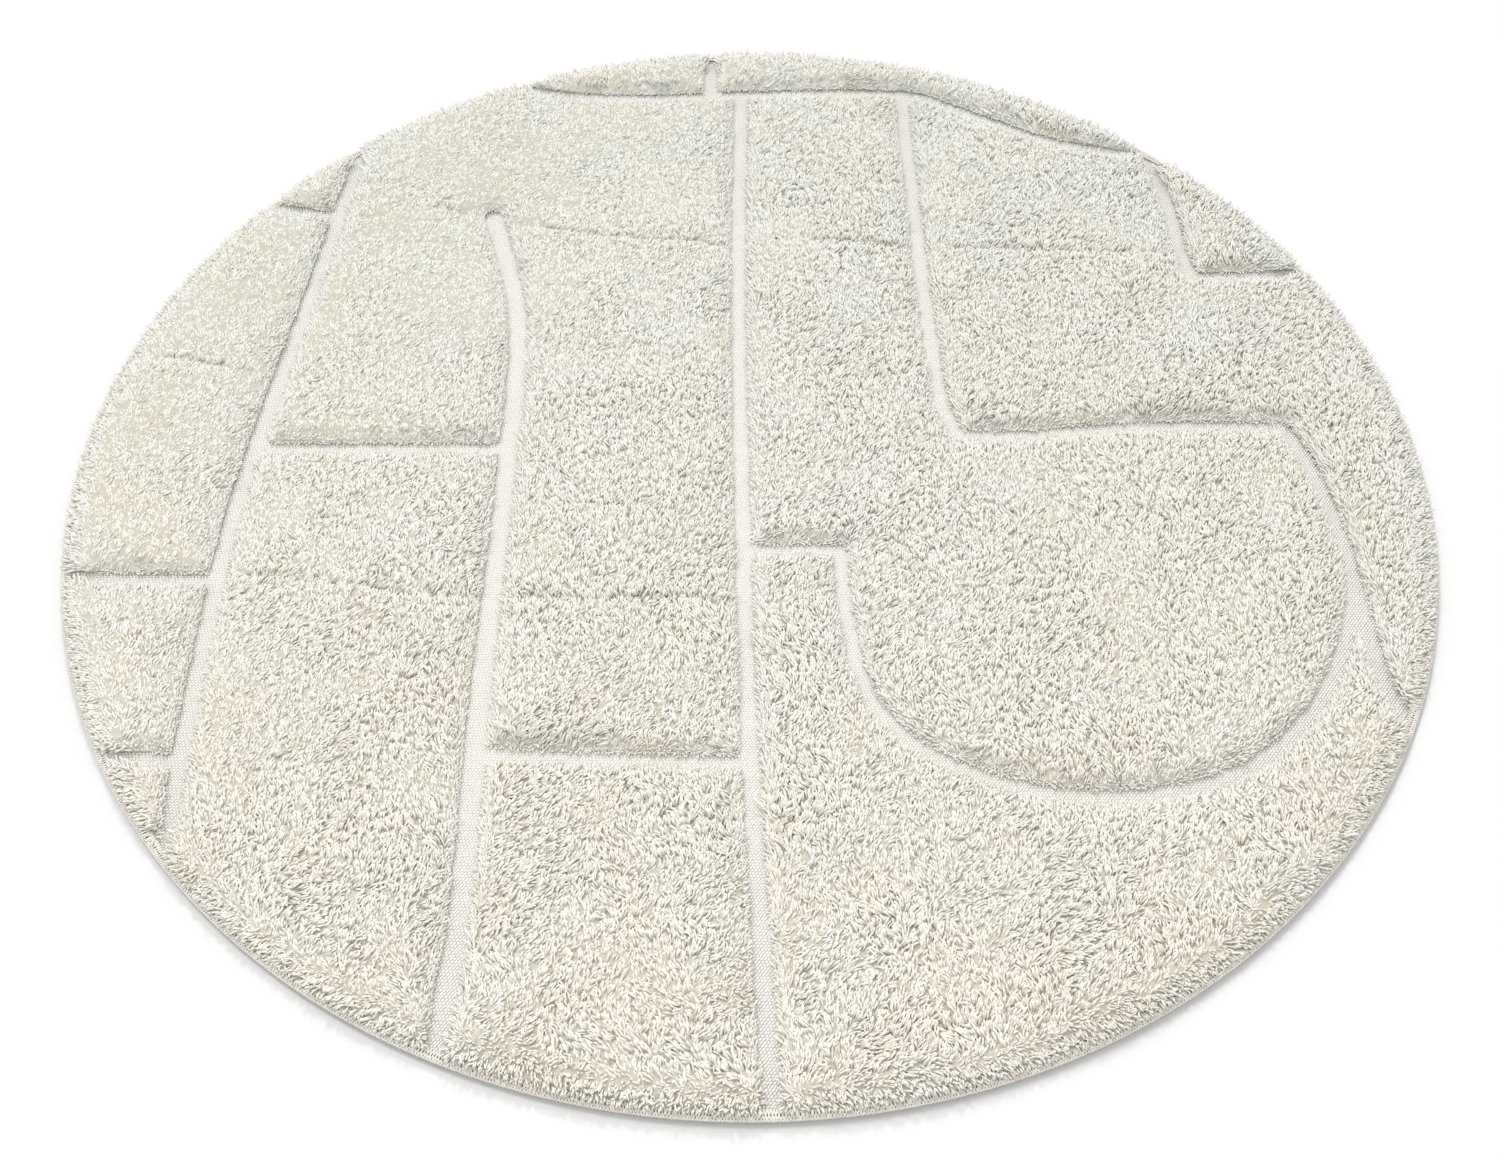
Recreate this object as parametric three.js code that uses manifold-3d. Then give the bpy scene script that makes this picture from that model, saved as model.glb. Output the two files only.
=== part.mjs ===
// A round tufted bath mat. Fields of tall cut pile stand on a woven ground cloth, with untufted
// channels between them where the cloth shows. A latex coat under the cloth locks the tufts and
// grips the floor, and an overlocked edge of thread closes the rim.
// Millimetres, +Z up. The origin is the centre of the underside, so the mat lies on Z = 0, and
// +Y points to the end of the mat that has the long cross channel near the rim.

import * as THREE from "three";
import { mergeVertices } from "three/addons/utils/BufferGeometryUtils.js";
import Module from "manifold-3d";

const wasm = await Module();
wasm.setup();

// Driving dimensions.
const MAT_DIAMETER = 800;
const MAT_HEIGHT = 13;
const COAT_THICKNESS = 0.9;
const CLOTH_THICKNESS = 1.2;
const THREAD_THICKNESS = 0.9; // of the overlock stitches, seen in section
const OVERLOCK_REACH = 5; // how far the stitches reach in from the rim, above and below
const LONG_CHANNEL = 11; // width of the channels that run away from the front
const WIDE_CHANNEL = 13; // the one on the left, beside the split field
const CROSS_CHANNEL = 10; // width of the channels that run across
const GAP = 0.3; // left between pieces that touch
const RIM_STEPS = 96; // sides of every round outline
const CHANNEL_STEP = 28; // length of one straight piece of a curved channel wall
const END_STEPS = 6; // sides of the half circle at a channel's end

// Worked out from them.
const MAT_RADIUS = MAT_DIAMETER / 2;
const FIELD_RADIUS = MAT_RADIUS - OVERLOCK_REACH - GAP; // of the pile and of the coat
const CLOTH_BOTTOM = COAT_THICKNESS + GAP;
const CLOTH_TOP = CLOTH_BOTTOM + CLOTH_THICKNESS;
const CLOTH_RADIUS = MAT_RADIUS - THREAD_THICKNESS - GAP;
const PILE_BOTTOM = CLOTH_TOP + GAP;
const PAST_RIM = MAT_RADIUS + 10; // channels that leave the mat are drawn to about here

// Centre lines of the channels, as [X, Y] points of a smooth curve.
const CHANNELS = [
  {
    // from the back rim to the front rim, bowing out on the left
    width: LONG_CHANNEL,
    path: [[-262, 306], [-276, 180], [-292, 60], [-302, -40], [-304, -190], [-301, -275]],
  },
  {
    // from inside the split field to the front rim
    width: WIDE_CHANNEL,
    path: [[-168, 230], [-150, 160], [-144, 100], [-145, -30], [-147, -160], [-147, -290], [-155, -385]],
  },
  {
    // down the middle to the front rim
    width: LONG_CHANNEL,
    path: [[-6, 355], [-7, 160], [-4, -30], [-1, -150], [4, -270], [12, -PAST_RIM]],
  },
  {
    // right of the middle, back half only
    width: LONG_CHANNEL,
    path: [[105, 355], [108, 260], [112, 140], [117, 65], [124, 38]],
  },
  {
    // across from the foot of that one towards the right rim
    width: CROSS_CHANNEL,
    path: [[124, 38], [165, 36], [215, 42], [270, 44], [322, 43]],
  },
  {
    // on from there, down the right side to the rim
    width: LONG_CHANNEL,
    path: [[322, 43], [331, 20], [339, -20], [344, -62], [347, -130], [357, -190]],
  },
  {
    // the round foot of the bay, back towards the middle
    width: CROSS_CHANNEL,
    path: [
      [344, -62], [338, -100], [311, -158], [265, -202], [205, -219],
      [145, -214], [92, -189], [64, -152], [54, -95], [52, -52],
    ],
  },
  {
    // along the back, from rim to rim
    width: CROSS_CHANNEL,
    path: [[-172, 364], [-125, 353], [-60, 351], [0, 355], [104, 355], [150, 335], [200, 307], [264, 289]],
  },
  {
    // round the corner field at the back right
    width: LONG_CHANNEL,
    path: [[262, 310], [273, 262], [278, 230], [279, 192], [284, 174]],
  },
  { width: CROSS_CHANNEL, path: [[284, 174], [320, 174], [374, 178]] },
  // short channels across
  { width: CROSS_CHANNEL, path: [[-3, -52], [52, -52]] },
  { width: CROSS_CHANNEL, path: [[-295, 26], [-144, 26]] },
  { width: CROSS_CHANNEL, path: [[-PAST_RIM, -60], [-385, -72], [-302, -74]] },
  { width: CROSS_CHANNEL, path: [[-368, -193], [-304, -197]] },
  { width: CROSS_CHANNEL, path: [[-332, 242], [-270, 230]] },
  { width: CROSS_CHANNEL, path: [[-147, -192], [-75, -196], [1, -198]] },
  // a short one at the back rim
  { width: LONG_CHANNEL, path: [[-27, 353], [-27, PAST_RIM]] },
];

// The fields of pile, each named and found by a point that lies in it.
const FIELDS = {
  pile_left_back_sliver: [-284, 262],
  pile_left_back: [-340, 80],
  pile_left_middle: [-345, -130],
  pile_left_front_sliver: [-322, -215],
  pile_split_back_left: [-80, 100],
  pile_front_left: [-220, -150],
  pile_front_centre: [-75, -290],
  pile_bay_right: [200, -80],
  pile_front_right: [150, -300],
  pile_back_right: [200, 150],
  pile_right_corner: [310, 215],
  pile_rim_back_left: [-70, 370],
  pile_rim_back_right: [60, 370],
};

const PILE = new THREE.MeshStandardMaterial({ color: 0xe4dfd3, roughness: 0.95, metalness: 0 });
const CLOTH = new THREE.MeshStandardMaterial({ color: 0xeeeae1, roughness: 0.9, metalness: 0 });
const THREAD = new THREE.MeshStandardMaterial({ color: 0xdedacb, roughness: 0.8, metalness: 0 });
const LATEX = new THREE.MeshStandardMaterial({ color: 0xd9d5c8, roughness: 0.6, metalness: 0 });

function toSolid(geometry) {
  const bare = geometry.clone();
  bare.deleteAttribute("normal");
  bare.deleteAttribute("uv");
  const merged = mergeVertices(bare, 1e-3);
  return new wasm.Manifold(
    new wasm.Mesh({
      numProp: 3,
      vertProperties: merged.attributes.position.array,
      triVerts: new Uint32Array(merged.index.array),
    }),
  );
}

function toGeometry(solid) {
  const { vertProperties, triVerts } = solid.getMesh();
  const geometry = new THREE.BufferGeometry();
  geometry.setAttribute("position", new THREE.BufferAttribute(vertProperties, 3));
  geometry.setIndex(new THREE.BufferAttribute(triVerts, 1));
  geometry.computeVertexNormals();
  return geometry;
}

// A flat round plate from one height to another.
function disc(radius, bottom, top) {
  const plate = new THREE.CylinderGeometry(radius, radius, top - bottom, RIM_STEPS);
  plate.rotateX(Math.PI / 2);
  plate.translate(0, 0, (bottom + top) / 2);
  return plate;
}

// The half circle that ends a channel, from the right side of its way on to the left side.
function roundEnd(centre, onward, radius) {
  const start = onward.angle() - Math.PI / 2;
  return Array.from({ length: END_STEPS - 1 }, (_, i) => {
    const angle = start + ((i + 1) * Math.PI) / END_STEPS;
    return new THREE.Vector2(
      centre.x + radius * Math.cos(angle),
      centre.y + radius * Math.sin(angle),
    );
  });
}

// The outline of a channel: its centre line moved half its width to either side, with round ends.
function channelOutline({ path, width }) {
  const radius = width / 2;
  const curve = new THREE.SplineCurve(path.map(([x, y]) => new THREE.Vector2(x, y)));
  const steps = path.length === 2 ? 1 : Math.ceil(curve.getLength() / CHANNEL_STEP);
  const left = [];
  const right = [];
  for (let i = 0; i <= steps; i++) {
    const centre = curve.getPointAt(i / steps);
    const along = curve.getTangentAt(i / steps);
    const across = new THREE.Vector2(-along.y, along.x).multiplyScalar(radius);
    left.unshift(centre.clone().add(across));
    right.push(centre.clone().sub(across));
  }
  return new THREE.Shape([
    ...right,
    ...roundEnd(curve.getPointAt(1), curve.getTangentAt(1), radius),
    ...left,
    ...roundEnd(curve.getPointAt(0), curve.getTangentAt(0).negate(), radius),
  ]);
}

// A cutter for one channel, taller than the pile both ways.
function channelCutter(channel) {
  const cutter = new THREE.ExtrudeGeometry(channelOutline(channel), {
    depth: 2 * MAT_HEIGHT,
    bevelEnabled: false,
    steps: 1,
  });
  cutter.translate(0, 0, -MAT_HEIGHT / 2);
  return toSolid(cutter);
}

// True if a solid stands over a point of the ground plane.
function standsOver(solid, [x, y]) {
  const probe = new THREE.BoxGeometry(1, 1, 2 * MAT_HEIGHT);
  probe.translate(x, y, MAT_HEIGHT / 2);
  return solid.intersect(toSolid(probe)).volume() > 0;
}

// The round layer of pile, cut into its fields by the channels.
function pileFields() {
  let layer = toSolid(disc(FIELD_RADIUS, PILE_BOTTOM, MAT_HEIGHT));
  for (const channel of CHANNELS) layer = layer.subtract(channelCutter(channel));
  const pieces = layer.decompose();
  if (pieces.length !== Object.keys(FIELDS).length) {
    throw new Error(`the channels cut the pile into ${pieces.length} fields`);
  }
  return Object.entries(FIELDS).map(([name, point]) => {
    const field = pieces.find((piece) => standsOver(piece, point));
    if (!field) throw new Error(`no field of pile stands over the point of ${name}`);
    return named(name, toGeometry(field), PILE);
  });
}

// The overlocked edge: a C in section, open inwards, that wraps the rim of the cloth.
function overlockRing() {
  const inner = MAT_RADIUS - OVERLOCK_REACH;
  const corner = THREAD_THICKNESS / 2; // bevel of the outer corners
  const top = CLOTH_TOP + GAP + THREAD_THICKNESS;
  const section = [
    [inner, 0],
    [MAT_RADIUS - corner, 0],
    [MAT_RADIUS, corner],
    [MAT_RADIUS, top - corner],
    [MAT_RADIUS - corner, top],
    [inner, top],
    [inner, top - THREAD_THICKNESS],
    [MAT_RADIUS - THREAD_THICKNESS, top - THREAD_THICKNESS],
    [MAT_RADIUS - THREAD_THICKNESS, THREAD_THICKNESS],
    [inner, THREAD_THICKNESS],
    [inner, 0],
  ].map(([radius, height]) => new THREE.Vector2(radius, height));
  const ring = new THREE.LatheGeometry(section, RIM_STEPS);
  ring.rotateX(Math.PI / 2);
  return ring;
}

function named(name, geometry, material) {
  const mesh = new THREE.Mesh(geometry, material);
  mesh.name = name;
  return mesh;
}

const mat = new THREE.Group();
mat.add(named("latex_coat", disc(FIELD_RADIUS, 0, COAT_THICKNESS), LATEX));
mat.add(named("ground_cloth", disc(CLOTH_RADIUS, CLOTH_BOTTOM, CLOTH_TOP), CLOTH));
mat.add(named("overlocked_edge", overlockRing(), THREAD));
mat.add(...pileFields());

export default mat;
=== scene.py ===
"""A round tufted bath mat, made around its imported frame.

The pile is real yarn: every field of pile in the frame has a body of packed yarn, planted with
thousands of bent strands that lie in bundles and lean together in clumps. The ground cloth is woven
grain by grain where the channels show it, and the rim is overlocked stitch by stitch. The latex coat
is the CAD's own, with a better material.
"""

import math

import bpy
import numpy as np
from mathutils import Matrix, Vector


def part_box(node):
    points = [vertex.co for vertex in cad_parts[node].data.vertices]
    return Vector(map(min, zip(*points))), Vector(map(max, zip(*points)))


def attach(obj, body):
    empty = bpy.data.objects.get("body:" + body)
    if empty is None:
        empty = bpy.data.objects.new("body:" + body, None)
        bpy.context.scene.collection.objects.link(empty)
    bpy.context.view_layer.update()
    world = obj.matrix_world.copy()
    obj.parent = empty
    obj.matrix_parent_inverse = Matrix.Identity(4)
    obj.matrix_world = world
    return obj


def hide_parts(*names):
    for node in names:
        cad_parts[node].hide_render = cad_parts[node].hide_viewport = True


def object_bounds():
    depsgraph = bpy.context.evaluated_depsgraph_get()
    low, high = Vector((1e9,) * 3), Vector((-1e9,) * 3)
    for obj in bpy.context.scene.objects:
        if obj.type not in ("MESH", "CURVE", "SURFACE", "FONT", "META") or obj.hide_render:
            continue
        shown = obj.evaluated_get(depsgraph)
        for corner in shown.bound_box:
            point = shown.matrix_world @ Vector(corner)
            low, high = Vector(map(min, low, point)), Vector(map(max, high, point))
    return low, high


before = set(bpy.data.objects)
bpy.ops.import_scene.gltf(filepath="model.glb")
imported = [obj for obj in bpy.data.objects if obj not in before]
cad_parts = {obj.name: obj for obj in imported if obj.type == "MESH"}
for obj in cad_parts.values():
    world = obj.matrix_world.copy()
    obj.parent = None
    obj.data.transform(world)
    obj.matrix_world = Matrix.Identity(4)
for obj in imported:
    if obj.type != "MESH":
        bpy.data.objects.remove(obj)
cad_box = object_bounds()

MM = 0.001

# Sizes read from the frame.
RADIUS = (cad_box[1][0] - cad_box[0][0]) / 2
PILE_TOP = cad_box[1][2]
CLOTH_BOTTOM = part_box("ground_cloth")[0][2]
CLOTH_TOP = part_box("ground_cloth")[1][2]
CLOTH_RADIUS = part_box("ground_cloth")[1][0]
EDGE_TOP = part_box("overlocked_edge")[1][2]
COAT_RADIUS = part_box("latex_coat")[1][0]
FIELDS = [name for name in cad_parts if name.startswith("pile_")]

# The pile: bundles of strands that arc over a packed body of yarn.
BUNDLE_PITCH = 3 * MM  # between one bundle's foot and the next
BUNDLE_STRANDS = 4
BUNDLE_UNEVEN = 0.22 * MM  # spread of the bundles' heights
STRAND_UNEVEN = 0.15 * MM  # spread of the heights in one bundle
STRAND_SPACING = 0.75 * MM  # across a bundle
STRAND_STAGGER = 1.1 * MM  # along it
STRAND_RADIUS = 0.7 * MM
STRAND_LENGTH = 5.6 * MM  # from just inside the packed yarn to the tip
STRAND_SIDES = 3
LIE = math.radians(74)  # the way that most of the pile lies, away from the front
SOFT_SIDE = (-0.75, -0.66)  # towards the walls that the pile slopes down to
STEP_SHARES = (0.4, 0.42, 0.18)  # of a strand's length, from the foot up
RING_WIDTHS = (0.75, 1.05, 0.95)  # of its radius, at the start of each step; it ends in a point
STRAND_POINTS = len(STEP_SHARES) * STRAND_SIDES + 1  # vertices of a strand
BODY_PITCH = 2 * MM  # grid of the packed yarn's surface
BODY_DROP = 2.3 * MM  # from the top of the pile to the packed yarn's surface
BODY_ROUGHNESS = 0.3 * MM
BODY_SHADE_SHARE = 0.1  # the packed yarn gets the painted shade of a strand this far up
BODY_PALE = 0.6  # and beside the walls the lighter painted shade of a strand this much further up
BODY_SINK = 0.3  # beside the walls it drops further, by this share of its drop
BODY_REACH = 5 * MM  # how far in from the walls it does
BODY_INSET = 1.2 * MM  # from a field's outline to the packed yarn
CLUMP_PITCH = 8.5 * MM
CLUMP_HEIGHT = 0.7 * MM
SWELL_HEIGHT = 0.4 * MM  # of the slow waves in the pile's surface
SWELL_CELL = 28 * MM
DRIFT_CELLS = (55 * MM, 18 * MM)  # of the broad and the fine noise that turn the pile's lie
FLATNESS_CELL = 30 * MM  # of the noise in how flat it lies
WALL_PITCH = 1.5 * MM  # between the strands of the rows along each field's outline
WALL_INSETS = (1.1 * MM, 2.6 * MM, 4.1 * MM)  # of those rows
WALL_JITTER = 0.25 * MM  # of a strand from its row
WALL_REACH = 4 * MM  # how far in from its walls a field is shaped by them
SINK_DEPTH = 4.5 * MM  # how far the pile sinks towards the channels
SINK_REACH = 12 * MM
ROUND_DEPTH = 2.3 * MM  # how much further its edge drops, where it stands up to a wall
SLOPE_DEPTH = 2 * MM  # and how much more, where it slopes down to one
PALE_REACH = 8 * MM  # how far in from there the strands are pale right down to the foot, without the painted shade
FRINGE_LENGTH = 4 * MM  # of the strands that lie out over the cloth
RIM_FALL = 19 * MM  # how far in from the rim the pile starts to drop
RIM_DROP = 5.5 * MM
HEM = 0.8 * MM  # of the overlocked edge that the pile leaves bare

# The packing folds that still show, as points in shares of the radius.
CREASES = (
    ((-0.51, 0.58), (-0.375, 0.54), (-0.24, 0.51), (-0.11, 0.5), (-0.03, 0.49)),
    ((0.04, 0.51), (0.24, 0.49), (0.4, 0.48), (0.56, 0.475), (0.67, 0.475)),
    ((-0.74, -0.18), (-0.49, -0.22), (-0.21, -0.23), (-0.015, -0.23)),
    ((-0.99, 0.25), (-0.88, 0.235), (-0.76, 0.21)),
)
CREASE_DEPTH = 2 * MM
CREASE_REACH = 3 * MM

# The ground cloth's weave.
RIB_PITCH = 1.85 * MM  # from one grain to the next across the mat
ROW_PITCH = 1.75 * MM  # from one row of grains to the next
ROW_SHIFT = 1.3 * MM  # of each row against the last, which makes the slanting ribs
GRAIN_LENGTH = 2.3 * MM
GRAIN_WIDTH = 1.15 * MM
GRAIN_HEIGHT = 0.9 * MM
GRAIN_JITTER = 0.08 * MM
GRAIN_SIDES = 6
GRAIN_BASE = CLOTH_TOP - 0.6 * GRAIN_HEIGHT  # the flat cloth that the grains stand on
CLOTH_SIDES = 192
UNDER_PILE = 4 * MM  # how far the weave is modelled in under the edge of a field
UNDER_EDGE = 1 * MM  # and in under the overlocked edge

# The overlocked rim.
STITCH_PITCH = 1.6 * MM
STITCH_SLANT = 5 * MM  # how far a stitch runs on along the rim from its start to its end
STITCH_RINGS = 10
STITCH_SIDES = 4
STITCH_START = 1 * MM  # how far in past the pile's edge a stitch starts and ends
STITCH_JITTER = 0.4  # spread of the stitches' places, as a share of the pitch
THREAD_RADIUS = 0.5 * MM

# Camera, floor and surround.
ELEVATION = math.radians(52)  # of the camera, seen from the point it aims at
CAMERA_DISTANCE = 3 * RADIUS
AIM = -0.187 * RADIUS  # that point's Y
FOCAL_LENGTH = 50.48  # in real millimetres, as is the width of the sensor
SENSOR_WIDTH = 36
FLOOR_REACH = 12 * RADIUS
FLOOR_GAP = 1.8 * MM  # from the mat's underside to the floor, so that its edge casts a shadow
FLOOR_TONE = 0.87
SURROUND = 0.77  # strength of the white light from all round

WHITE = (1, 1, 1)
WELD = 0.001 * MM  # corners of a CAD mesh closer than this are one corner
NOISE_PERIOD = 256  # cells before the noise repeats, more than the mat ever spans
TINY = 1e-9  # keeps a division by a length safe
NO_TRIANGLES = np.zeros((0, 3), int)
SEED = 7


# ---------------------------------------------------------------- directions, noise and outlines

def nearby(distance, reach):
    """1 at no distance, falling off in a soft bell over the reach."""
    return np.exp(-((distance / reach) ** 2))


def compass(angle):
    """Unit directions in the plane, at angles anticlockwise from +X."""
    return np.stack([np.cos(angle), np.sin(angle)], -1)


def leftward(direction):
    """Directions in the plane turned a quarter turn to the left."""
    return np.stack([-direction[..., 1], direction[..., 0]], -1)


def extent(segments):
    """The lowest and the highest corner of the box round an outline."""
    corners = segments.reshape(-1, 2)
    return corners.min(0), corners.max(0)


def smooth_noise(points, cell, seed):
    """Noise from -1 to 1 at points in the plane, smooth over about one cell."""
    table = np.random.default_rng(seed).uniform(-1, 1, (NOISE_PERIOD, NOISE_PERIOD))
    scaled = points / cell
    corner = np.floor(scaled).astype(int)
    part = scaled - corner
    blend = part * part * (3 - 2 * part)

    def at(i, j):
        return table[(corner[:, 0] + i) % NOISE_PERIOD, (corner[:, 1] + j) % NOISE_PERIOD]

    near = at(0, 0) + (at(1, 0) - at(0, 0)) * blend[:, 0]
    far = at(0, 1) + (at(1, 1) - at(0, 1)) * blend[:, 0]
    return near + (far - near) * blend[:, 1]


def clump_of(points, pitch, seed):
    """The centre of the clump that each point is nearest to, and the clump's own random numbers."""
    rng = np.random.default_rng(seed)
    jitter = rng.uniform(0.1, 0.9, (NOISE_PERIOD, NOISE_PERIOD, 2))
    character = rng.uniform(-1, 1, (NOISE_PERIOD, NOISE_PERIOD, 3))
    cell = np.floor(points / pitch).astype(int)
    nearest = np.full(len(points), np.inf)
    centre = np.zeros_like(points)
    own = np.zeros((len(points), 3))
    for i in (-1, 0, 1):
        for j in (-1, 0, 1):
            other = cell + (i, j)
            index = tuple((other % NOISE_PERIOD).T)
            candidate = (other + jitter[index]) * pitch
            distance = np.hypot(*(points - candidate).T)
            closer = distance < nearest
            nearest[closer] = distance[closer]
            centre[closer] = candidate[closer]
            own[closer] = character[index][closer]
    return centre, own


def outline(node):
    """The edges round a slab's level top face, as an array of pairs of points."""
    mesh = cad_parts[node].data
    corners = np.array([vertex.co for vertex in mesh.vertices])
    places, same = np.unique(np.round(corners / WELD), axis=0, return_inverse=True)
    same = same.reshape(-1)
    counts = {}
    for face in mesh.polygons:
        is_level_top = face.normal.z > 0.9
        if not is_level_top:
            continue
        round_face = [int(same[v]) for v in face.vertices]
        for a, b in zip(round_face, round_face[1:] + round_face[:1]):
            key = (min(a, b), max(a, b))
            counts[key] = counts.get(key, 0) + 1
    edges = [key for key, count in counts.items() if count == 1]
    return (places[:, :2] * WELD)[np.array(edges)]


def to_segments(points, segments):
    """The distance from each point to the nearest segment, and the unit direction towards it."""
    distance = np.full(len(points), np.inf)
    towards = np.zeros_like(points)
    for start, end in segments:
        along = end - start
        share = np.clip((points - start) @ along / max(along @ along, TINY ** 2), 0, 1)
        gap = start + share[:, None] * along - points
        length = np.hypot(*gap.T)
        closer = length < distance
        distance[closer] = length[closer]
        towards[closer] = gap[closer] / np.maximum(length[closer], TINY)[:, None]
    return distance, towards


def inside(points, segments):
    """True for each point that the segments go round."""
    crossings = np.zeros(len(points), int)
    x, y = points.T
    for (x0, y0), (x1, y1) in segments:
        if y0 == y1:
            continue
        spans = (y0 > y) != (y1 > y)
        crossings += spans & (x < x0 + (y - y0) * (x1 - x0) / (y1 - y0))
    return crossings % 2 == 1


# ---------------------------------------------------------------- meshes

def new_object(name, vertices, quads, triangles, material, share=None):
    """A smooth-shaded object from arrays of vertices and faces; share is a number for each vertex,
    which its material can read, and which the pile's material turns into painted shade."""
    mesh = bpy.data.meshes.new(name)
    mesh.vertices.add(len(vertices))
    mesh.vertices.foreach_set("co", vertices.astype(np.float32).ravel())
    corners = np.concatenate([quads.ravel(), triangles.ravel()])
    mesh.loops.add(len(corners))
    mesh.loops.foreach_set("vertex_index", corners.astype(np.int32))
    quad_starts = np.arange(len(quads)) * 4
    triangle_starts = quads.size + np.arange(len(triangles)) * 3
    starts = np.concatenate([quad_starts, triangle_starts]).astype(np.int32)
    mesh.polygons.add(len(starts))
    mesh.polygons.foreach_set("loop_start", starts)
    mesh.polygons.foreach_set("use_smooth", np.ones(len(starts), bool))
    mesh.materials.append(material)
    mesh.update(calc_edges=True)
    if share is not None:
        attribute = mesh.attributes.new("share", "FLOAT", "POINT")
        attribute.data.foreach_set("value", share.astype(np.float32))
    obj = bpy.data.objects.new(name, mesh)
    bpy.context.collection.objects.link(obj)
    return obj


def repeated(faces, count, stride):
    """One copy's faces, repeated for count copies whose vertices are stride apart."""
    faces = np.array(faces, int)
    shift = (np.arange(count) * stride)[:, None, None]
    return (faces[None] + shift).reshape(-1, faces.shape[1])


def ring(centre, direction, side, radius, sides, roll):
    """Points round a centre, in the plane across the direction; side is across it and level."""
    up = np.cross(direction, side)
    angle = 2 * math.pi * np.arange(sides)[None, :, None] / sides + roll[:, None, None]
    spoke = np.cos(angle) * side[:, None] + np.sin(angle) * up[:, None]
    return centre[:, None] + radius[:, None, None] * spoke


def tube_sides(steps, sides):
    """The side faces of a tube whose rings' points are numbered one ring after another."""
    faces = []
    for step in range(steps):
        for k in range(sides):
            a = step * sides + k
            b = step * sides + (k + 1) % sides
            faces.append([a, b, b + sides, a + sides])
    return faces


def strand_arrays(strands):
    """Vertices, each vertex's share of the way up, side faces and tip faces of many bent strands.

    A strand turns by bend away from the vertical and by curl about it, from its foot to its tip.
    """
    centre = strands["foot"].copy()
    count = len(centre)
    steps = len(STEP_SHARES)
    travelled = 0.0
    rings = []
    shares = []
    for share, width in zip(STEP_SHARES, RING_WIDTHS):
        shares += [travelled] * STRAND_SIDES
        middle = travelled + share / 2
        lean = strands["lean"] + strands["bend"] * middle
        heading = strands["heading"] + strands["curl"] * middle
        side = np.stack([-np.sin(heading), np.cos(heading), np.zeros(count)], 1)
        direction = np.stack([
            np.sin(lean) * np.cos(heading),
            np.sin(lean) * np.sin(heading),
            np.cos(lean),
        ], 1)
        radius = strands["radius"] * width
        rings.append(ring(centre, direction, side, radius, STRAND_SIDES, strands["roll"]))
        centre = centre + direction * (strands["length"] * share)[:, None]
        travelled += share
    rings.append(centre[:, None])
    last = (steps - 1) * STRAND_SIDES
    point = last + STRAND_SIDES
    tip = [[last + k, last + (k + 1) % STRAND_SIDES, point] for k in range(STRAND_SIDES)]
    return (
        np.concatenate(rings, 1).reshape(-1, 3),
        np.tile([*shares, 1.0], count),
        repeated(tube_sides(steps - 1, STRAND_SIDES), count, STRAND_POINTS),
        repeated(tip, count, STRAND_POINTS),
    )


# ---------------------------------------------------------------- the pile

def jittered_grid(segments, pitch, rng):
    """Points inside an outline, one in each cell of a grid but anywhere in it."""
    low, high = extent(segments)
    columns = np.arange(low[0], high[0], pitch)
    rows = np.arange(low[1], high[1], pitch)
    points = np.stack(np.meshgrid(columns, rows), -1).reshape(-1, 2)
    points = points + rng.uniform(0, pitch, points.shape)
    return points[inside(points, segments)]


def along_outline(segments, inset, rng):
    """Points in a row a little way inside an outline."""
    row = []
    for start, end in segments:
        span = np.hypot(*(end - start))
        stops = np.arange(WALL_PITCH / 2, span, WALL_PITCH)
        across = leftward(end - start) / span * inset
        on_line = start + stops[:, None] / span * (end - start)
        inward = inside(on_line + across, segments)
        row.append(np.where(inward[:, None], on_line + across, on_line - across))
    row = np.concatenate(row)
    distance, _ = to_segments(row, segments)
    clear_of_corners = distance > 0.7 * inset
    row = row[inside(row, segments) & clear_of_corners]
    return row + rng.uniform(-WALL_JITTER, WALL_JITTER, row.shape)


def crease_depth(points):
    """How deep the packing folds press the pile at each point."""
    depth = np.zeros(len(points))
    for crease in CREASES:
        corners = np.array(crease) * RADIUS
        distance, _ = to_segments(points, np.stack([corners[:-1], corners[1:]], 1))
        depth = np.maximum(depth, CREASE_DEPTH * nearby(distance, CREASE_REACH))
    return depth


def nearness_to_rim(points):
    """0 where the rim is far away, up to 1 at the edge of the pile."""
    from_rim = RADIUS - np.hypot(*points.T)
    return np.clip(1 - (from_rim - (RADIUS - COAT_RADIUS)) / RIM_FALL, 0, 1)


def calm(points):
    """How far the pile is brushed smooth: 1 at the back left, 0 over the front and the right."""
    return np.clip((points[:, 1] - points[:, 0]) / RADIUS, 0, 1)


def softness(to_wall):
    """1 beside a wall that the pile slopes down to, 0 beside one that it stands up to."""
    return np.clip(0.5 + 0.5 * to_wall @ np.array(SOFT_SIDE), 0, 1)


def pile_height(points, wall, to_wall):
    """The height that the strands' tops reach; it falls softly to walls on the left or in front.

    Each clump is a low dome. The whole surface has slow waves, sinks towards the channels, drops
    further at their walls, and rounds off at the rim.
    """
    centre, own = clump_of(points, CLUMP_PITCH, SEED)
    away = np.hypot(*(points - centre).T) / CLUMP_PITCH
    height = PILE_TOP + CLUMP_HEIGHT * (0.3 - 2.2 * away ** 2 + 0.3 * own[:, 1])
    height += SWELL_HEIGHT * smooth_noise(points, SWELL_CELL, SEED + 2)
    at_rim = nearness_to_rim(points)
    sink = SINK_DEPTH * np.exp(-wall / SINK_REACH)
    edge = (ROUND_DEPTH + SLOPE_DEPTH * softness(to_wall)) * nearby(wall, WALL_REACH)
    height -= (sink + edge) * (1 - at_rim)
    height -= RIM_DROP * at_rim ** 2.5
    return height - crease_depth(points)


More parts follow.
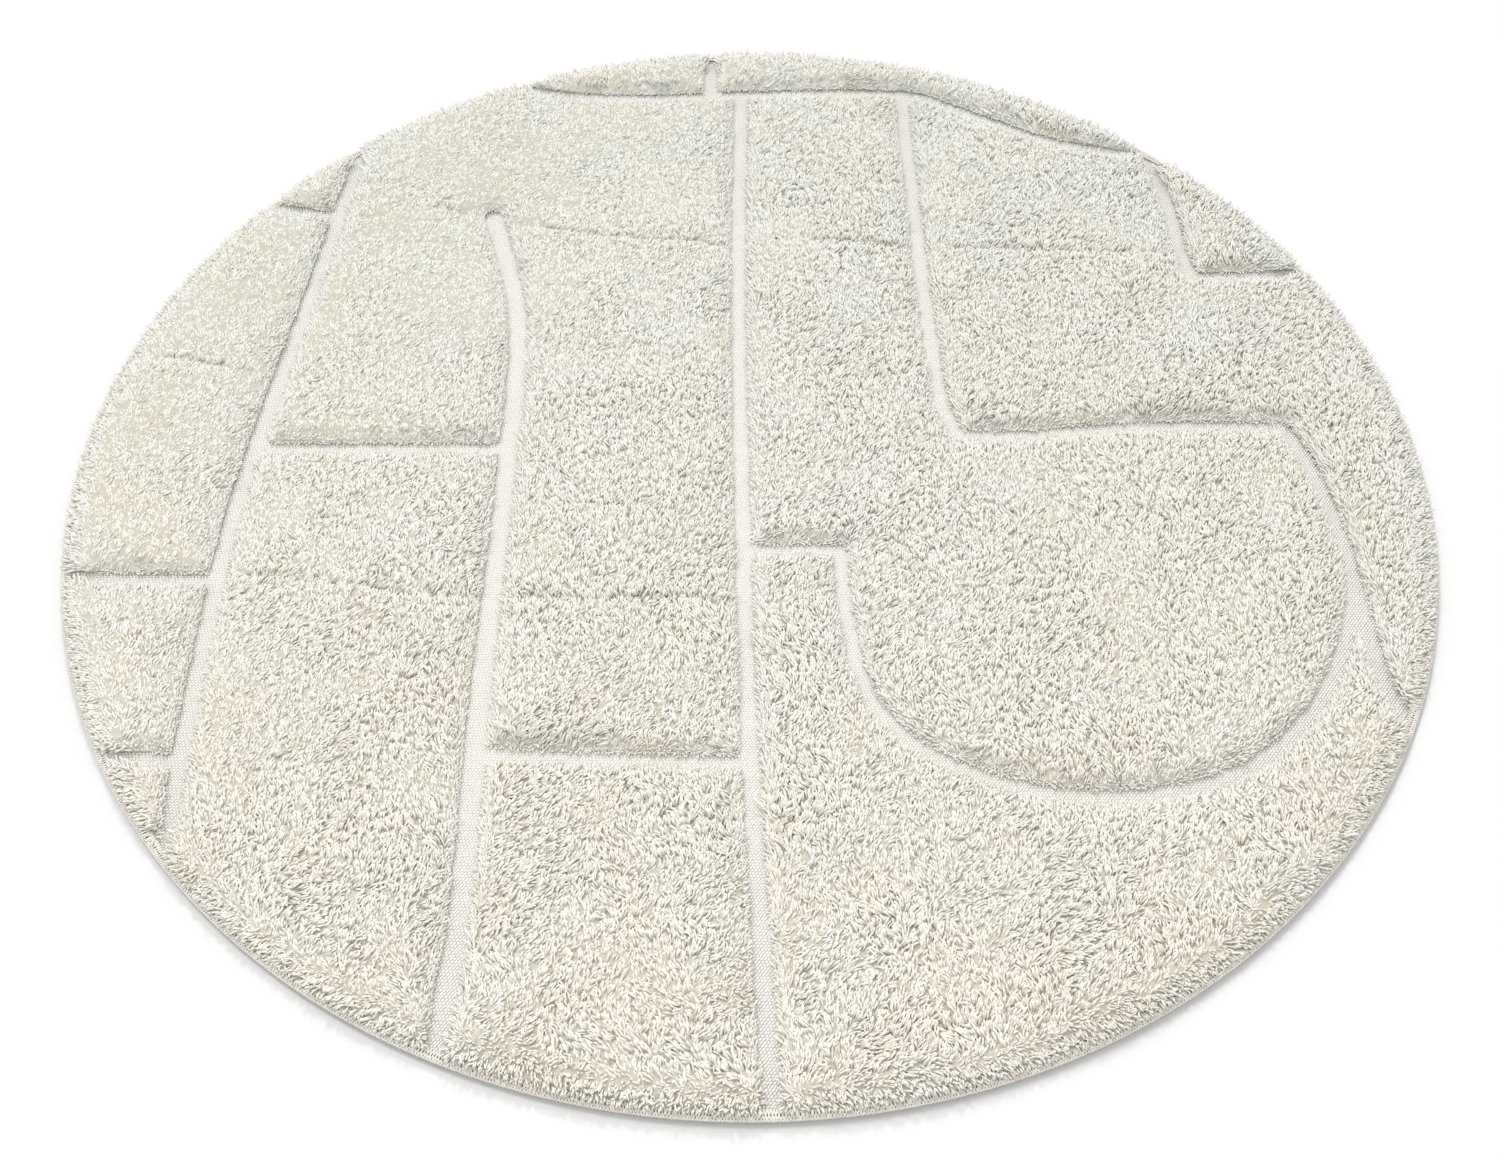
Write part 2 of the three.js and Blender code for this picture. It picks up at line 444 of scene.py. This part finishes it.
def lean_of(points, segments, rng):
    """Which way the pile leans at each point, as a vector that is longer where it lies flatter.

    It follows the lie of the whole pile, wanders from it most at the front, spreads out from the
    middle of each clump, and turns out over the rim. Beside a wall it leans a little over the edge.
    """
    centre, own = clump_of(points, CLUMP_PITCH, SEED)
    broad = smooth_noise(points, DRIFT_CELLS[0], SEED + 1)
    fine = smooth_noise(points, DRIFT_CELLS[1], SEED + 3)
    flatness = 0.75 + 0.35 * smooth_noise(points, FLATNESS_CELL, SEED + 4)
    front = np.clip((-points[:, 1] / RADIUS - 0.2) / 0.7, 0, 1)
    heading = LIE + (0.8 + front) * (broad + fine) / 2 + (0.35 + 0.3 * front) * own[:, 0]
    push = compass(heading) * flatness[:, None]
    push += 0.3 * (points - centre) / CLUMP_PITCH + rng.normal(0, 0.15, points.shape)

    at_rim = nearness_to_rim(points)[:, None]
    outward = points / np.maximum(np.hypot(*points.T), TINY)[:, None]
    push = push * (1 - 0.6 * at_rim) + 0.9 * at_rim ** 1.5 * outward

    wall, to_wall = to_segments(points, segments)
    at_wall = nearby(wall, WALL_REACH)[:, None]
    push += at_wall * to_wall
    towards_wall = (push * to_wall).sum(1, keepdims=True)
    most = 0.1 + 0.2 * softness(to_wall)[:, None]
    return push - np.maximum(towards_wall - most, 0) * to_wall * at_wall * (1 - at_rim)


def step_angles(lean, bend):
    """Each step's share of a strand's length, with its angle from the vertical."""
    middles = np.cumsum(STEP_SHARES) - np.array(STEP_SHARES) / 2
    return [(share, lean + bend * middle) for share, middle in zip(STEP_SHARES, middles)]


def rise_of(lean, bend):
    """How far a bent strand climbs before it droops, as a share of its length."""
    climbs = [share * np.cos(angle) for share, angle in step_angles(lean, bend)]
    return np.maximum.reduce(np.cumsum(climbs, 0))


def run_of(lean, bend):
    """How far a bent strand goes sideways, as a share of its length."""
    return sum(share * np.sin(angle) for share, angle in step_angles(lean, bend))


def room_to_hem(place):
    """How far it is outwards to where the pile ends over the hem."""
    return RADIUS - HEM - np.hypot(*place.T)


def bundled_strands(segments, rng):
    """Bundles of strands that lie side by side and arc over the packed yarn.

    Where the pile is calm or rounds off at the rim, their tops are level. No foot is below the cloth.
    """
    spots = jittered_grid(segments, BUNDLE_PITCH, rng)
    count = len(spots)
    push = lean_of(spots, segments, rng)
    strength = np.hypot(*push.T)
    heading = np.arctan2(push[:, 1], push[:, 0])
    along = compass(heading)
    across = leftward(along)
    lean = 0.35 + 0.6 * np.minimum(strength, 1.1)
    bend = np.clip(0.8 * strength, 0.35, 1)
    half_run = run_of(lean, bend) / 2
    rise = rise_of(lean, bend)
    length = STRAND_LENGTH * rng.uniform(0.8, 1.15, count)
    curl = rng.normal(0, 0.5, count)
    lift = rng.normal(0, BUNDLE_UNEVEN, count)
    parts = []
    for k in range(BUNDLE_STRANDS):
        shift = (k - (BUNDLE_STRANDS - 1) / 2) * STRAND_SPACING
        place = spots + shift * across + rng.normal(0, STRAND_STAGGER, (count, 1)) * along
        wall, to_wall = to_segments(place, segments)
        long = np.minimum(length * rng.uniform(0.85, 1.1, count), room_to_hem(place) / half_run)
        evenness = np.maximum(0.6 * nearness_to_rim(place), calm(place))
        uneven = (lift + rng.normal(0, STRAND_UNEVEN, count)) * (1 - evenness)
        top = pile_height(place, wall, to_wall) - STRAND_RADIUS + uneven
        long = np.minimum(long, (top - CLOTH_BOTTOM) / rise)
        foot = place - (half_run * long)[:, None] * along
        keep = inside(place, segments) & (wall > WALL_INSETS[0]) & inside(foot, segments)
        part = {
            "foot": np.column_stack([foot, top - long * rise]),
            "heading": heading + rng.normal(0, 0.12, count),
            "lean": lean,
            "bend": bend,
            "curl": curl + rng.normal(0, 0.2, count),
            "length": long,
            "radius": STRAND_RADIUS * rng.uniform(0.8, 1.2, count),
            "roll": rng.uniform(0, 2 * math.pi, count),
            # Beside walls that the pile slopes down to, the painted shade at a strand's foot is left
            # off.
            "palest": 0.8 * softness(to_wall) * nearby(wall, PALE_REACH),
        }
        parts.append({key: value[keep] for key, value in part.items()})
    return {key: np.concatenate([part[key] for part in parts]) for key in parts[0]}


def wall_strands(segments, inset, rng):
    """The outer strands, which stand up from the cloth all round a field."""
    place = along_outline(segments, inset, rng)
    count = len(place)
    wall, to_wall = to_segments(place, segments)
    at_rim = nearness_to_rim(place) ** 4  # falls off fast inwards
    push = lean_of(place, segments, rng)
    lean = 0.15 + 0.4 * np.hypot(*push.T) + rng.uniform(-0.1, 0.1, count)
    bend = rng.uniform(0.1, 0.6, count) + np.maximum(0.6 * softness(to_wall), at_rim)
    height = pile_height(place, wall, to_wall) - CLOTH_TOP - STRAND_RADIUS
    long = np.minimum(height / rise_of(lean, bend), room_to_hem(place) / run_of(lean, bend))
    return {
        "foot": np.column_stack([place, np.full(count, CLOTH_TOP)]),
        "heading": np.arctan2(push[:, 1], push[:, 0]) + rng.normal(0, 0.3, count),
        "lean": lean,
        "bend": bend,
        "curl": rng.normal(0, 0.5, count),
        "length": long * rng.uniform(0.92, 1.08, count),
        "radius": STRAND_RADIUS * rng.uniform(0.8, 1.1, count),
        "roll": rng.uniform(0, 2 * math.pi, count),
        # The rows at the walls get little of the painted shade at their foot, and none at the rim or
        # where the pile slopes down.
        "palest": 0.7 + 0.3 * np.maximum(softness(to_wall), at_rim),
    }


def fringe_strands(segments, rng):
    """Short strands that lie out over the cloth from the walls that the pile slopes down to."""
    place = along_outline(segments, WALL_INSETS[0], rng)
    _, to_wall = to_segments(place, segments)
    is_soft = softness(to_wall) > rng.uniform(0.5, 0.9, len(place))
    laid = is_soft & (nearness_to_rim(place) == 0)
    place = place[laid]
    to_wall = to_wall[laid]
    count = len(place)
    return {
        "foot": np.column_stack([place, np.full(count, CLOTH_TOP + STRAND_RADIUS / 2)]),
        "heading": np.arctan2(to_wall[:, 1], to_wall[:, 0]) + rng.normal(0, 0.5, count),
        "lean": rng.uniform(0.8, 1.2, count),
        "bend": rng.uniform(0.1, 0.4, count),
        "curl": rng.normal(0, 0.8, count),
        "length": FRINGE_LENGTH * rng.uniform(0.6, 1.2, count),
        "radius": STRAND_RADIUS * rng.uniform(0.7, 1, count),
        "roll": rng.uniform(0, 2 * math.pi, count),
        # The fringe gets none of the painted shade.
        "palest": np.full(count, 0.8),
    }


def all_four(flags):
    """True where a flag and its next neighbours along both axes and across are all set."""
    return flags[:-1, :-1] & flags[1:, :-1] & flags[:-1, 1:] & flags[1:, 1:]


def open_edges(cell, number):
    """The edges with a cell on one side only, as pairs of corner numbers that go round the cells."""
    padded = np.pad(cell, 1)
    edges = []
    # For each side of a cell: the way to the next cell, and the two corners that they share.
    for (di, dj), (ai, aj), (bi, bj) in (
        ((0, -1), (0, 0), (1, 0)),
        ((1, 0), (1, 0), (1, 1)),
        ((0, 1), (1, 1), (0, 1)),
        ((-1, 0), (0, 1), (0, 0)),
    ):
        beside = padded[1 + di:1 + di + cell.shape[0], 1 + dj:1 + dj + cell.shape[1]]
        i, j = np.nonzero(cell & ~beside)
        edges.append(np.column_stack([number[i + ai, j + aj], number[i + bi, j + bj]]))
    return np.concatenate(edges)


def packed_body(segments, rng):
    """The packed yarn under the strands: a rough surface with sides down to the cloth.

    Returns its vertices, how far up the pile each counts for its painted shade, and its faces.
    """
    low, high = extent(segments)
    columns = np.arange(low[0] - BODY_PITCH, high[0] + 2 * BODY_PITCH, BODY_PITCH)
    rows = np.arange(low[1] - BODY_PITCH, high[1] + 2 * BODY_PITCH, BODY_PITCH)
    points = np.stack(np.meshgrid(columns, rows, indexing="ij"), -1)
    flat = points.reshape(-1, 2)
    wall, to_wall = to_segments(flat, segments)
    solid = (inside(flat, segments) & (wall > BODY_INSET)).reshape(points.shape[:2])
    cell = all_four(solid)

    # The corners on the body's outline move out to it.
    outer = ~all_four(np.pad(cell, 1)).reshape(-1)
    flat[outer] += (to_wall * (wall - BODY_INSET)[:, None])[outer]

    top = pile_height(flat, np.where(outer, BODY_INSET, wall), to_wall)
    top -= BODY_DROP * (1 - 0.55 * calm(flat) + BODY_SINK * nearby(wall, BODY_REACH))
    top = np.maximum(top + rng.normal(0, BODY_ROUGHNESS, len(flat)), CLOTH_TOP)
    # Painted shade: the packed yarn is as dark as the foot of the pile, less so beside the walls.
    share = BODY_SHADE_SHARE + BODY_PALE * nearby(wall, WALL_REACH)
    layers = np.concatenate([
        np.column_stack([flat, top]),
        np.column_stack([flat, np.full(len(flat), CLOTH_TOP)]),
    ])

    number = np.arange(solid.size).reshape(solid.shape)
    i, j = np.nonzero(cell)
    surface = np.column_stack([number[i, j], number[i + 1, j], number[i + 1, j + 1], number[i, j + 1]])
    a, b = open_edges(cell, number).T
    sides = np.column_stack([a + solid.size, b + solid.size, b, a])
    faces = np.concatenate([surface, sides])
    used, renumbered = np.unique(faces, return_inverse=True)
    return layers[used], np.tile(share, 2)[used], renumbered.reshape(faces.shape)


def field_arrays(segments, rng):
    """Vertices, their shares of the way up for the painted shade, quads and triangles of one field of
    pile.
    """
    body, body_share, body_quads = packed_body(segments, rng)
    vertices = [body]
    share = [body_share]
    quads = [body_quads]
    triangles = []
    rows = [wall_strands(segments, inset, rng) for inset in WALL_INSETS]
    for strands in (bundled_strands(segments, rng), fringe_strands(segments, rng), *rows):
        start = sum(map(len, vertices))
        points, shares, sides, tips = strand_arrays(strands)
        vertices.append(points)
        # A strand's painted shade at its foot goes no darker than its palest allows.
        share.append(np.maximum(shares, np.repeat(strands["palest"], STRAND_POINTS)))
        quads.append(sides + start)
        triangles.append(tips + start)
    return [np.concatenate(parts) for parts in (vertices, share, quads, triangles)]


def pile(material):
    """One piece for each field: its packed yarn, its bundles, its fringe and the rows at its walls."""
    made = []
    for number, node in enumerate(FIELDS):
        rng = np.random.default_rng(SEED + 10 + number)
        vertices, share, quads, triangles = field_arrays(outline(node), rng)
        name = node.replace("pile_", "tufts_")
        piece = new_object(name, vertices, quads, triangles, material, share)
        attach(piece, "root")
        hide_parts(node)
        made.append(piece)
    return made


# ---------------------------------------------------------------- the ground cloth

def weave_points():
    """The places of the weave's grains that are not hidden deep in the pile."""
    reach = COAT_RADIUS + UNDER_EDGE
    span = math.ceil(2 * reach / min(RIB_PITCH, ROW_PITCH))
    index = np.stack(np.meshgrid(np.arange(-span, span + 1), np.arange(-span, span + 1)), -1)
    points = index.reshape(-1, 2) @ np.array([(RIB_PITCH, 0), (ROW_SHIFT, ROW_PITCH)])
    points = points[np.hypot(*points.T) < reach]
    for node in FIELDS:
        segments = outline(node)
        low, high = extent(segments)
        near = np.all((points > low) & (points < high), 1)
        candidates = points[near]
        deep = inside(candidates, segments)
        distance, _ = to_segments(candidates[deep], segments)
        deep[deep] = distance > UNDER_PILE
        hidden = np.zeros(len(points), bool)
        hidden[near] = deep
        points = points[~hidden]
    return points


def weave_grains(rng):
    """Vertices and triangles of a raised six-sided grain at every crossing that shows."""
    points = weave_points()
    count = len(points)
    points = points + rng.normal(0, GRAIN_JITTER, (count, 2))
    along = compass(math.atan2(ROW_PITCH, ROW_SHIFT) + rng.normal(0, 0.1, count))[:, None]
    across = leftward(along)
    angle = 2 * math.pi * np.arange(GRAIN_SIDES)[:, None] / GRAIN_SIDES
    skirt = np.full((count, GRAIN_SIDES, 3), GRAIN_BASE)
    skirt[:, :, :2] = (
        points[:, None]
        + GRAIN_LENGTH / 2 * np.cos(angle) * along
        + GRAIN_WIDTH / 2 * np.sin(angle) * across
    )
    height = GRAIN_HEIGHT * rng.uniform(0.8, 1.2, count)
    crown = np.column_stack([points, GRAIN_BASE + height])[:, None]
    faces = [[k, (k + 1) % GRAIN_SIDES, GRAIN_SIDES] for k in range(GRAIN_SIDES)]
    vertices = np.concatenate([skirt, crown], 1).reshape(-1, 3)
    return vertices, repeated(faces, count, GRAIN_SIDES + 1)


def cloth_disc():
    """Vertices, rim quads and triangles of a flat closed disc, with one fan above and one below."""
    k = np.arange(CLOTH_SIDES)
    following = (k + 1) % CLOTH_SIDES
    circle = CLOTH_RADIUS * compass(2 * math.pi * k / CLOTH_SIDES)
    vertices = np.concatenate([
        np.column_stack([circle, np.full(CLOTH_SIDES, GRAIN_BASE)]),
        np.column_stack([circle, np.full(CLOTH_SIDES, CLOTH_BOTTOM)]),
        [[0, 0, GRAIN_BASE], [0, 0, CLOTH_BOTTOM]],
    ])
    top_centre = np.full(CLOTH_SIDES, 2 * CLOTH_SIDES)
    upper = np.column_stack([k, following, top_centre])
    lower = np.column_stack([following + CLOTH_SIDES, k + CLOTH_SIDES, top_centre + 1])
    band = np.column_stack([k + CLOTH_SIDES, following + CLOTH_SIDES, following, k])
    return vertices, band, np.concatenate([upper, lower])


def ground_cloth(material):
    """A thin round cloth with the grains of its weave standing on it where they show."""
    grains, grain_triangles = weave_grains(np.random.default_rng(SEED + 40))
    disc, band, fans = cloth_disc()
    piece = new_object(
        "woven_ground",
        np.concatenate([grains, disc]),
        band + len(grains),
        np.concatenate([grain_triangles, fans + len(grains)]),
        material,
    )
    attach(piece, "root")
    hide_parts("ground_cloth")
    return piece


# ---------------------------------------------------------------- the rim

def stitch_path(share):
    """Radius and height of an overlock stitch, from its start above the cloth to its end below."""
    inner = COAT_RADIUS - STITCH_START
    middle = EDGE_TOP / 2
    turn = math.pi * (share - 0.5)
    bulge = RADIUS - THREAD_RADIUS - inner
    return inner + bulge * np.cos(turn), middle - (middle - THREAD_RADIUS) * np.sin(turn)


def stitches(slant, rng):
    """Vertices of one stitch beside the next all round the rim, each slanted the same way."""
    count = round(2 * math.pi * RADIUS / STITCH_PITCH)
    start = (2 * math.pi * np.arange(count) + rng.normal(0, STITCH_JITTER, count)) / count
    thick = THREAD_RADIUS * rng.uniform(0.85, 1.2, count)
    level = np.zeros(count)
    nudge = 0.01  # of the way along, to either side, to find the thread's direction
    points = []
    for step in range(STITCH_RINGS):
        share = step / (STITCH_RINGS - 1)
        radius, height = stitch_path(share)
        ahead = np.array(stitch_path(share + nudge))
        behind = np.array(stitch_path(share - nudge))
        slope = (ahead - behind) / np.hypot(*(ahead - behind))
        outward = compass(start + slant * (share - 0.5) / RADIUS)
        centre = np.column_stack([outward * radius, level + height])
        direction = np.column_stack([outward * slope[0], level + slope[1]])
        side = np.column_stack([leftward(outward), level])
        swelling = 1 + 0.25 * math.cos(6 * math.pi * share)  # three times along the stitch
        points.append(ring(centre, direction, side, thick * swelling, STITCH_SIDES, level))
    return np.concatenate(points, 1)


def overlocked_edge(material):
    """Thread wrapped over the rim in two crossing sets of slanted stitches."""
    rng = np.random.default_rng(SEED + 50)
    sets = [stitches(slant, rng) for slant in (STITCH_SLANT, -STITCH_SLANT)]
    vertices = np.concatenate(sets)
    sides = tube_sides(STITCH_RINGS - 1, STITCH_SIDES)
    quads = repeated(sides, len(vertices), STITCH_RINGS * STITCH_SIDES)
    piece = new_object(
        "overlock_stitches", vertices.reshape(-1, 3), quads, NO_TRIANGLES, material
    )
    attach(piece, "root")
    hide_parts("overlocked_edge")
    return piece


# ---------------------------------------------------------------- materials

def new_material(name, roughness, sheen=0.0):
    """A material whose shader's own sockets hold what is the same all over."""
    material = bpy.data.materials.new(name)
    material.use_nodes = True
    shader = material.node_tree.nodes["Principled BSDF"]
    shader.inputs["Roughness"].default_value = roughness
    shader.inputs["Sheen Weight"].default_value = sheen
    shader.inputs["Specular IOR Level"].default_value = 0.2
    return material, material.node_tree, shader


def noise(tree, size, detail=2.0):
    """Noise in the object's own space, with features about size metres across."""
    place = tree.nodes.new("ShaderNodeTexCoord")
    node = tree.nodes.new("ShaderNodeTexNoise")
    node.inputs["Scale"].default_value = 1 / size
    node.inputs["Detail"].default_value = detail
    tree.links.new(place.outputs["Object"], node.inputs["Vector"])
    return node.outputs["Fac"]


def ramp(tree, source, low, high, start=0, end=1):
    """One colour turning into another over part of the source's range."""
    node = tree.nodes.new("ShaderNodeValToRGB")
    node.color_ramp.elements[0].position = start
    node.color_ramp.elements[0].color = (*low, 1)
    node.color_ramp.elements[1].position = end
    node.color_ramp.elements[1].color = (*high, 1)
    tree.links.new(source, node.inputs["Fac"])
    return node.outputs["Color"]


def patches(tree, size, low, high, start=0.35, end=0.65, detail=2.0):
    """Two colours that run into each other in patches about size metres across."""
    return ramp(tree, noise(tree, size, detail), low, high, start, end)


def multiplied(tree, first, second):
    """Two colours multiplied."""
    mix = tree.nodes.new("ShaderNodeMix")
    mix.data_type = "RGBA"
    mix.blend_type = "MULTIPLY"
    mix.inputs["Factor"].default_value = 1
    tree.links.new(first, mix.inputs["A"])
    tree.links.new(second, mix.inputs["B"])
    return mix.outputs["Result"]


def share_along(tree, axis, low, high):
    """Place along an axis of the object's own space, as 0 at low and 1 at high."""
    place = tree.nodes.new("ShaderNodeTexCoord")
    parts = tree.nodes.new("ShaderNodeSeparateXYZ")
    share = tree.nodes.new("ShaderNodeMapRange")
    share.inputs["From Min"].default_value = low
    share.inputs["From Max"].default_value = high
    tree.links.new(place.outputs["Object"], parts.inputs["Vector"])
    tree.links.new(parts.outputs[axis], share.inputs["Value"])
    return share.outputs["Result"]


def add_bumps(tree, shader, size, height, strength):
    """Fine bumps of a height, about size metres across."""
    bump = tree.nodes.new("ShaderNodeBump")
    bump.inputs["Strength"].default_value = strength
    bump.inputs["Distance"].default_value = height
    tree.links.new(noise(tree, size), bump.inputs["Height"])
    tree.links.new(bump.outputs["Normal"], shader.inputs["Normal"])


def pile_material():
    """Undyed cotton yarn: warmer and cooler patches, strands of slightly different tone, painted shade
    that darkens the pile towards its foot and in its packed yarn, and a little warmer at the front of
    the mat than at the back."""
    material, tree, shader = new_material("pile_yarn", 0.95, sheen=0.15)
    share = tree.nodes.new("ShaderNodeAttribute")
    share.attribute_name = "share"
    colour = patches(tree, 45 * MM, (0.88, 0.853, 0.797), (0.88, 0.868, 0.835))
    for tint in (
        patches(tree, 1.8 * MM, (0.92, 0.91, 0.875), WHITE, end=0.6),
        # Painted shade: the yarn darkens towards the foot of the pile and in the packed yarn, by the
        # share that each vertex carries.
        ramp(tree, share.outputs["Fac"], (0.64, 0.62, 0.56), WHITE, 0.1, 0.7),
        ramp(tree, share_along(tree, "Y", -RADIUS, RADIUS / 2), (1, 0.985, 0.965), (0.985, 1, 1)),
    ):
        colour = multiplied(tree, colour, tint)
    tree.links.new(colour, shader.inputs["Base Color"])
    return material


def cloth_material():
    """Bleached cotton cloth: paler than the pile, with slubs, and with painted shade that darkens it
    between its grains.
    """
    material, tree, shader = new_material("ground_cloth", 0.9, sheen=0.1)
    slubs = patches(tree, 4 * MM, (0.885, 0.875, 0.845), (0.915, 0.91, 0.885))
    # Painted shade: the cloth is darker lower down, between its grains.
    depth = share_along(tree, "Z", GRAIN_BASE, CLOTH_TOP)
    painted_gap_shade = ramp(tree, depth, (0.7, 0.68, 0.65), WHITE, 0, 0.7)
    tree.links.new(multiplied(tree, slubs, painted_gap_shade), shader.inputs["Base Color"])
    add_bumps(tree, shader, 0.5 * MM, 0.2 * MM, 0.4)
    return material


def thread_material():
    """Overlock thread: a little darker and smoother than the pile."""
    material, tree, shader = new_material("overlock_thread", 0.75, sheen=0.1)
    tones = patches(tree, 3 * MM, (0.76, 0.73, 0.655), (0.82, 0.8, 0.745))
    tree.links.new(tones, shader.inputs["Base Color"])
    return material


def latex_material():
    """Matte latex foam: off-white, with fine bubbles."""
    material, tree, shader = new_material("latex", 0.65)
    tones = patches(tree, 20 * MM, (0.72, 0.68, 0.57), (0.78, 0.75, 0.66), 0.3, 0.7, detail=4)
    tree.links.new(tones, shader.inputs["Base Color"])
    add_bumps(tree, shader, 1.5 * MM, 0.3 * MM, 1)
    return material


# ---------------------------------------------------------------- camera, floor and light

def camera():
    """Looks down at the mat from the front."""
    data = bpy.data.cameras.new("camera")
    data.sensor_width = SENSOR_WIDTH
    data.lens = FOCAL_LENGTH
    data.clip_start = 10 * MM
    obj = bpy.data.objects.new("camera", data)
    back = CAMERA_DISTANCE * math.cos(ELEVATION)
    obj.location = (0, AIM - back, CAMERA_DISTANCE * math.sin(ELEVATION))
    obj.rotation_euler = (math.pi / 2 - ELEVATION, 0, 0)
    bpy.context.collection.objects.link(obj)
    bpy.context.scene.camera = obj


def floor():
    """A plain white floor that runs out of view."""
    corners = np.array([(-1, -1), (1, -1), (1, 1), (-1, 1)]) * FLOOR_REACH
    vertices = np.column_stack([corners, np.full(4, -FLOOR_GAP)])
    material, _, shader = new_material("floor_white", 0.9)
    shader.inputs["Base Color"].default_value = (FLOOR_TONE, FLOOR_TONE, FLOOR_TONE, 1)
    obj = new_object("floor", vertices, np.array([[0, 1, 2, 3]]), NO_TRIANGLES, material)
    return obj


def sun(name, azimuth, elevation, spread, energy):
    """A far lamp. Its azimuth, anticlockwise from +X, its elevation and how wide it looks are in
    degrees."""
    lamp = bpy.data.lights.new(name, "SUN")
    lamp.angle = math.radians(spread)
    lamp.energy = energy
    obj = bpy.data.objects.new(name, lamp)
    obj.rotation_euler = (math.radians(90 - elevation), 0, math.radians(azimuth + 90))
    bpy.context.collection.objects.link(obj)


def panel(name, place, width, power, unlit):
    """A square lamp that faces the middle of the mat and leaves one object unlit."""
    lamp = bpy.data.lights.new(name, "AREA")
    lamp.size = width
    lamp.energy = power
    obj = bpy.data.objects.new(name, lamp)
    obj.location = place
    obj.rotation_euler = (-Vector(place)).to_track_quat("-Z", "Y").to_euler()
    bpy.context.collection.objects.link(obj)
    excluded = bpy.data.collections.new(f"unlit by {name}")
    excluded.objects.link(unlit)
    excluded.collection_objects[0].light_linking.link_state = "EXCLUDE"
    obj.light_linking.receiver_collection = excluded


def lights(ground):
    """Soft light from above the back left and from behind, an even white surround, and a panel
    above the front left. The panel doesn't light the ground, which keeps the edge's shadow dark."""
    scene = bpy.context.scene
    scene.view_settings.view_transform = "Standard"
    world = bpy.data.worlds.new("surround")
    world.use_nodes = True
    background = world.node_tree.nodes["Background"]
    background.inputs["Color"].default_value = (*WHITE, 1)
    background.inputs["Strength"].default_value = SURROUND
    scene.world = world
    sun("key", azimuth=130, elevation=62, spread=14, energy=0.8)
    sun("back", azimuth=90, elevation=46, spread=10, energy=0.8)
    front_left = (-0.4 * RADIUS, -1.5 * RADIUS, 3 * RADIUS)
    panel("front", front_left, width=2 * RADIUS, power=4.5, unlit=ground)


# ---------------------------------------------------------------- the scene

camera()
lights(floor())

cloth = ground_cloth(cloth_material())
tufts = pile(pile_material())
edge = overlocked_edge(thread_material())
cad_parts["latex_coat"].material_slots[0].material = latex_material()
